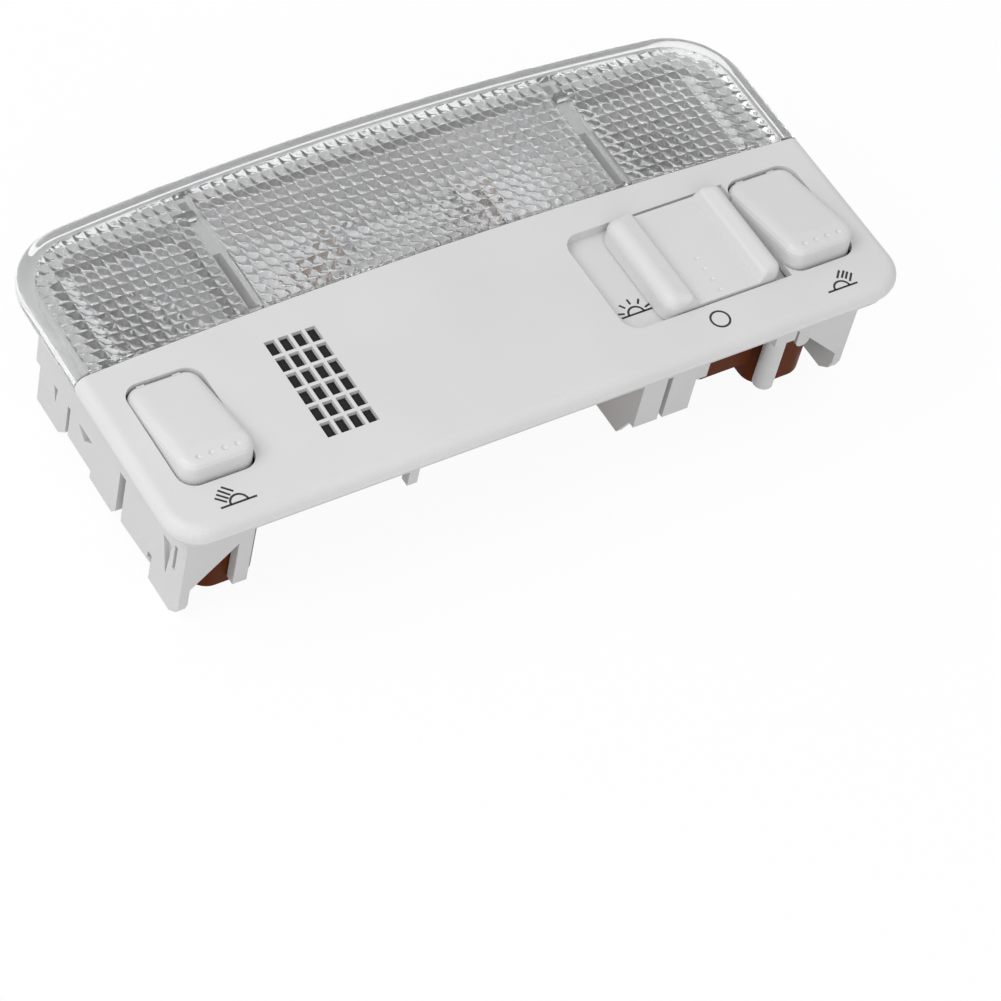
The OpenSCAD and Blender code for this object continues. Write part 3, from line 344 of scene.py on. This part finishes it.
def make_symbols(materials):
    """Off and the two lamps on the plate, always-on and door on the recess floor."""
    symbol("off_sign", [(arc(46.7, -14.0, 2.3, 0, 360, 40)[:-1], True)], 0.0, materials)
    symbol("right_lamp_sign", [
        ([(74.8, -17.2), (83.0, -17.2)], False),
        (arc(78.8, -17.2, 2.0, 180, 0, 16), False),
        ([(79.2, -14.3), (81.0, -12.4)], False),
        ([(80.3, -14.6), (82.0, -12.9)], False),
        ([(81.0, -15.2), (82.6, -13.5)], False),
        ([(81.5, -16.2), (83.3, -14.2)], False)], 0.0, materials)
    symbol("left_lamp_sign", [
        ([(-84.0, -16.6), (-75.2, -16.6)], False),
        (arc(-79.4, -16.6, 2.1, 180, 0, 16), False),
        ([(-84.0, -13.7), (-82.0, -15.6)], False),
        ([(-83.2, -12.9), (-81.2, -14.9)], False),
        ([(-82.4, -12.0), (-80.4, -14.2)], False),
        ([(-81.3, -11.5), (-79.3, -13.5)], False)], 0.0, materials)
    sun = [([(27.3, -3.2), (35.7, -3.2)], False), (arc(31.4, -3.2, 2.0, 180, 0, 16), False)]
    for a in (18, 54, 90, 126, 162):
        sun.append(([arc(31.4, -3.2, r, a, a, 1)[0] for r in (2.9, 4.5)], False))
    symbol("always_on_sign", sun, RECESS_FLOOR, materials)
    door = [(62.8, -3.2), (66.3, -3.2), (66.3, -1.7), (65.1, 0.2), (62.8, 0.2)]
    symbol("door_sign", [(door, True), ([(63.6, -2.0), (64.5, -2.0)], False)], RECESS_FLOOR, materials)


# Lens
HALF_W = 96.3
DEPTH = 95.4
CORNER_R = 18.5
BACK_BOW = 6.0
JOINT_Y = 51.697
JOINT_BOW = 2.9
JOINT_GAP = 0.15
EDGE_R = 2.8
SKIRT_LOW = -5.96
SKIRT_DRAFT = 1.3
SKIRT_T = 4.3
PLATE_LOW = -1.6
LEDGE = -4.2
WALL_T = 1.1
CHAMFER = 0.4
PITCH = 3.0
RIB_X = 49.0
RIB_W = 3.4
FIN_T = 0.7
FIN_LOW = -3.9
LEG = (51.0, 82.6)
DOME = 0.66
STEPS = 6
EDGE_CLEAR = 0.12
LEG_SECTIONS = ((5, 2, PLATE_LOW + 0.2), (5, 2, -9), (4, 1, -10))
SIDE_STEPS = 8
CORNER_STEPS = 20
BACK_STEPS = 60
FRONT_STEPS = 120
ROUND_STEPS = 12
SHARP_FROM = 24
MERGE_WITHIN = 1e-6
CUT_WITHIN = 1e-5

BACK_R = (HALF_W ** 2 + BACK_BOW ** 2) / (2 * BACK_BOW)
BACK_CY = DEPTH - BACK_R
CORNER_X = HALF_W - CORNER_R
CORNER_Y = BACK_CY + math.sqrt((BACK_R - CORNER_R) ** 2 - CORNER_X ** 2)
CORNER_A = math.degrees(math.atan2(CORNER_Y - BACK_CY, CORNER_X))
JOINT_R = (HALF_W ** 2 + JOINT_BOW ** 2) / (2 * JOINT_BOW)
JOINT_CY = JOINT_Y - JOINT_R


def joint(x, gap):
    """Where the joint with the face plate runs at a given x, moved back by a gap."""
    return JOINT_CY + math.sqrt((JOINT_R + gap) ** 2 - x * x)


def back_edge(x, inset):
    """Where the back edge of the outline runs at a given x, drawn in by a distance."""
    r = CORNER_R - inset
    past = abs(x) - CORNER_X
    if past < r * math.cos(math.radians(CORNER_A)):
        return BACK_CY + math.sqrt((BACK_R - inset) ** 2 - x * x)
    return CORNER_Y + math.sqrt(max(r * r - past * past, 0.0))


def rim(inset, gap):
    """The outline from the joint's right end round the back to its left end."""
    x = HALF_W - inset
    y0 = joint(x, gap)
    right = [(x, y0 + (CORNER_Y - y0) * i / SIDE_STEPS) for i in range(SIDE_STEPS)]
    right += arc(CORNER_X, CORNER_Y, CORNER_R - inset, 0, CORNER_A, CORNER_STEPS)
    back = arc(0, BACK_CY, BACK_R - inset, CORNER_A, 180 - CORNER_A, BACK_STEPS)[1:-1]
    return right + back + [(-a, b) for a, b in reversed(right)]


def cells(a, b):
    """Whole prisms from a to b, each about one pitch long."""
    n = round((b - a) / PITCH)
    return [(a + (b - a) * i / n, a + (b - a) * (i + 1) / n) for i in range(n)]


def lens_grid():
    """Places of the dome mesh across and back, each with its place in its own dome, -1 to 1."""
    side = HALF_W - SKIRT_T
    fins = [s * RIB_X + e * RIB_W / 2 for s in (-1, 1) for e in (-1, 1)]
    edges = [-side] + [f + e * FIN_T / 2 for f in fins for e in (-1, 1)] + [side]
    across = {}
    for a, b in (edges[0:2], edges[4:6], edges[8:10]):
        for x0, x1 in cells(a, b):
            for i in range(STEPS + 1):
                across[round(x0 + (x1 - x0) * i / STEPS, 4)] = 2 * i / STEPS - 1
    for f in fins:
        for e in (-1, 1):
            across[round(f + e * FIN_T / 4, 4)] = None
    back = {}
    for y0, y1 in cells(JOINT_Y - JOINT_BOW, DEPTH - SKIRT_T):
        for i in range(STEPS + 1):
            back[round(y0 + (y1 - y0) * i / STEPS, 4)] = 2 * i / STEPS - 1
    return across, back


def dome_plate():
    """The underside of the lens plate inside its rim: its edge loop, its points and its triangles."""
    wall = [(x, joint(x, JOINT_GAP + WALL_T)) for x in front_places()]
    loop = wall + rim(SKIRT_T, JOINT_GAP + WALL_T)[1:-1]
    points = [Vector(p) for p in loop]
    heights = [PLATE_LOW] * len(loop)
    across, back = lens_grid()
    for x, u in across.items():
        near = joint(x, JOINT_GAP + WALL_T) + EDGE_CLEAR
        far = back_edge(x, SKIRT_T) - EDGE_CLEAR
        if abs(x) > HALF_W - SKIRT_T - EDGE_CLEAR:
            continue
        for y, v in back.items():
            if near < y < far:
                points.append(Vector((x, y)))
                heights.append(FIN_LOW if u is None else PLATE_LOW - DOME * (1 - u * u) * (1 - v * v))
    ring = list(range(len(loop)))
    found = delaunay_2d_cdt(points, [], [ring], 1, CUT_WITHIN)
    z = {}
    for i, origins in enumerate(found[3]):
        z[i] = heights[origins[0]] if origins else PLATE_LOW
    return [(p.x, p.y, z[i]) for i, p in enumerate(found[0])], [tuple(f) for f in found[2]]


def front_places():
    side = HALF_W - SKIRT_T
    return [-side + 2 * side * i / FRONT_STEPS for i in range(FRONT_STEPS + 1)]


def make_lens(materials):
    """The lens: rim, front wall, prism plate and two snap legs, in place of the plain solid."""
    corners = []
    faces = []

    def put(x, y, z):
        corners.append(drawn(x, y, z))
        return len(corners) - 1

    def strip(a, b):
        for i in range(len(a) - 1):
            faces.append((a[i], a[i + 1], b[i + 1], b[i]))

    profile = [(SKIRT_T, PLATE_LOW), (SKIRT_T, SKIRT_LOW), (SKIRT_DRAFT, SKIRT_LOW),
               (SKIRT_DRAFT * 0.3, (SKIRT_LOW - EDGE_R) / 2)]
    for i in range(ROUND_STEPS + 1):
        a = math.radians(90 * i / ROUND_STEPS)
        profile.append((EDGE_R * (1 - math.cos(a)), EDGE_R * math.sin(a) - EDGE_R))
    rings = []
    for i, (inset, z) in enumerate(profile):
        rings.append([put(x, y, z) for x, y in rim(inset, JOINT_GAP + (WALL_T if i == 0 else 0))])
    for low, high in zip(rings, rings[1:]):
        strip(low, high)
    xs = front_places()
    front_top = [put(x, joint(x, JOINT_GAP + CHAMFER), 0.0) for x in xs]
    front_mid = [put(x, joint(x, JOINT_GAP), -CHAMFER) for x in xs]
    front_low = [put(x, joint(x, JOINT_GAP), LEDGE) for x in xs]
    wall_low = [put(x, joint(x, JOINT_GAP + WALL_T), LEDGE) for x in xs]
    wall_top = [put(x, joint(x, JOINT_GAP + WALL_T), PLATE_LOW) for x in xs]
    strip(front_top, front_mid)
    strip(front_mid, front_low)
    strip(front_low, wall_low)
    strip(wall_low, wall_top)
    faces.append(tuple(rings[-1] + front_top))
    for end, other in ((0, -1), (-1, 0)):
        front = [line[other] for line in (front_top, front_mid, front_low)]
        faces.append(tuple([r[end] for r in rings[1:]] + front))
        faces.append((rings[0][end], rings[1][end], front_low[other], wall_low[other]))
    points, triangles = dome_plate()
    start = len(corners)
    for x, y, z in points:
        put(x, y, z)
    faces += [tuple(start + i for i in t) for t in triangles]
    x, y = LEG
    for s in (-1, 1):
        start = len(corners)
        for w, l, z in LEG_SECTIONS:
            for a, b in ((-1, -1), (1, -1), (1, 1), (-1, 1)):
                put(s * x + a * w / 2, y + b * l / 2, z)
        faces += [tuple(start + i for i in f) for f in ((0, 3, 2, 1), (8, 9, 10, 11))]
        for low in (start, start + 4):
            for i in range(4):
                j = (i + 1) % 4
                faces.append((low + i, low + j, low + 4 + j, low + 4 + i))
    obj = mesh_object("prism_lens", corners, faces, materials["lens"])
    mesh = obj.data
    bm = bmesh.new()
    bm.from_mesh(mesh)
    bmesh.ops.remove_doubles(bm, verts=bm.verts, dist=MERGE_WITHIN)
    bmesh.ops.recalc_face_normals(bm, faces=bm.faces)
    bm.to_mesh(mesh)
    bm.free()
    mesh.polygons.foreach_set("use_smooth", [True] * len(mesh.polygons))
    mesh.set_sharp_from_angle(angle=math.radians(SHARP_FROM))
    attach(obj, "housing")
    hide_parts("lens")


# Near-black foam pads pressed up into the slots of the grille, on the foam below them: raised into the
# slots, their black is painted shade that makes the slots read dark
GRILLE = (-46.7, 27.3)
GRILLE_COLS = 4
GRILLE_ROWS = 6
SLOT_PITCH = (3.47, 5.03)
SLOT_SIZE = (2.56, 4.12)
PAD_LOW = -2.2
PAD_TOP = -0.85
PAD_EDGE = 0.75
PAD_STEPS = 6


def pad(cx, cy):
    """One pad round a slot's middle: corners of its crown, then of its flat underside, and faces."""
    n = PAD_STEPS
    corners = []
    for low in (False, True):
        for j in range(n + 1):
            for i in range(n + 1):
                u = 2 * i / n - 1
                v = 2 * j / n - 1
                crown = PAD_EDGE + (1 - PAD_EDGE) * (1 - u * u) * (1 - v * v)
                z = PAD_LOW if low else PAD_LOW + (PAD_TOP - PAD_LOW) * crown
                corners.append(drawn(cx + u * SLOT_SIZE[0] / 2, cy + v * SLOT_SIZE[1] / 2, z))
    under = (n + 1) ** 2
    faces = []
    for j in range(n):
        for i in range(n):
            a = j * (n + 1) + i
            faces.append((a, a + 1, a + n + 2, a + n + 1))
            faces.append((a + under, a + under + n + 1, a + under + n + 2, a + under + 1))
    edge = list(range(n)) + [(i + 1) * (n + 1) - 1 for i in range(n)]
    edge += [under - 1 - i for i in range(n)] + [(n - i) * (n + 1) for i in range(n)]
    faces += [(b, a, a + under, b + under) for a, b in zip(edge, edge[1:] + edge[:1])]
    return corners, faces


def make_slot_shade_pads(materials):
    corners = []
    faces = []
    for col in range(GRILLE_COLS):
        for row in range(GRILLE_ROWS):
            cx = GRILLE[0] + (col - (GRILLE_COLS - 1) / 2) * SLOT_PITCH[0]
            cy = GRILLE[1] + (row - (GRILLE_ROWS - 1) / 2) * SLOT_PITCH[1]
            c, f = pad(cx, cy)
            start = len(corners)
            corners += c
            faces += [tuple(start + i for i in face) for face in f]
    # the pads' near-black is painted shade standing in for the dark inside the grille slots
    obj = mesh_object("grille_slot_shade_pads", corners, faces, materials["foam"])
    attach(obj, "housing")


# Studio
WHITE = (1.0, 1.0, 1.0, 1.0)
ROOM_LIGHT = 0.62
FLOOR_COLOUR = (0.95, 0.95, 0.95, 1.0)
FLOOR_GLOW = 0.94
FLOOR_HALF = 6.0
FLOOR_Z = -0.0002
LAMP_AIM = (0.0, 0.0, 0.03)


def seen_rays(tree):
    """One for camera, glossy and transmission rays, nothing for the rest."""
    path = tree.nodes.new("ShaderNodeLightPath")
    value = path.outputs["Is Camera Ray"]
    for name in ("Is Glossy Ray", "Is Transmission Ray"):
        more = tree.nodes.new("ShaderNodeMath")
        more.operation = "MAXIMUM"
        tree.links.new(value, more.inputs[0])
        tree.links.new(path.outputs[name], more.inputs[1])
        value = more.outputs["Value"]
    return value


def make_world():
    """Pure white where it is seen, softer as the light that falls on the part."""
    scene = bpy.context.scene
    scene.view_settings.view_transform = "Standard"
    world = bpy.data.worlds.new("studio")
    scene.world = world
    world.use_nodes = True
    tree = world.node_tree
    tree.nodes.clear()
    out = tree.nodes.new("ShaderNodeOutputWorld")
    mix = tree.nodes.new("ShaderNodeMixShader")
    tree.links.new(seen_rays(tree), mix.inputs["Fac"])
    for slot, strength in ((1, ROOM_LIGHT), (2, 1.0)):
        background = tree.nodes.new("ShaderNodeBackground")
        background.inputs["Color"].default_value = WHITE
        background.inputs["Strength"].default_value = strength
        tree.links.new(background.outputs["Background"], mix.inputs[slot])
    tree.links.new(mix.outputs["Shader"], out.inputs["Surface"])


def make_floor():
    """A white floor that melts into the background and keeps a faint shadow."""
    g = Graph("floor_white")
    lit = g.add("ShaderNodeBsdfDiffuse", Color=FLOOR_COLOUR)
    glow = g.add("ShaderNodeEmission", Color=WHITE, Strength=1.0)
    keep = g.add("ShaderNodeMath", operation="MULTIPLY")
    keep.inputs[1].default_value = FLOOR_GLOW
    g.join(seen_rays(g.tree), keep.inputs[0])
    both = g.add("ShaderNodeMixShader")
    g.join(keep.outputs["Value"], both.inputs["Fac"])
    g.join(lit.outputs["BSDF"], both.inputs[1])
    g.join(glow.outputs["Emission"], both.inputs[2])
    g.join(both.outputs["Shader"], g.out.inputs["Surface"])
    h = FLOOR_HALF
    corners = [(-h, -h, 0), (h, -h, 0), (h, h, 0), (-h, h, 0)]
    floor = mesh_object("floor", corners, [(0, 1, 2, 3)], g.material)
    floor.location.z = FLOOR_Z


def make_lamp(name, place, size, power):
    data = bpy.data.lights.new(name, "AREA")
    data.shape = "SQUARE"
    data.size = size
    data.energy = power
    obj = bpy.data.objects.new(name, data)
    bpy.context.collection.objects.link(obj)
    obj.location = place
    obj.rotation_euler = (Vector(LAMP_AIM) - Vector(place)).to_track_quat("-Z", "Y").to_euler()


materials = make_materials()
make_camera()
make_world()
make_floor()
make_lamp("key", (-0.75, 0.1, 0.95), 0.7, 5.6)
make_lamp("fill", (-0.5, -1.2, 0.8), 0.9, 3.6)
dress_nodes(materials)
make_lens(materials)
make_slot_shade_pads(materials)
make_symbols(materials)
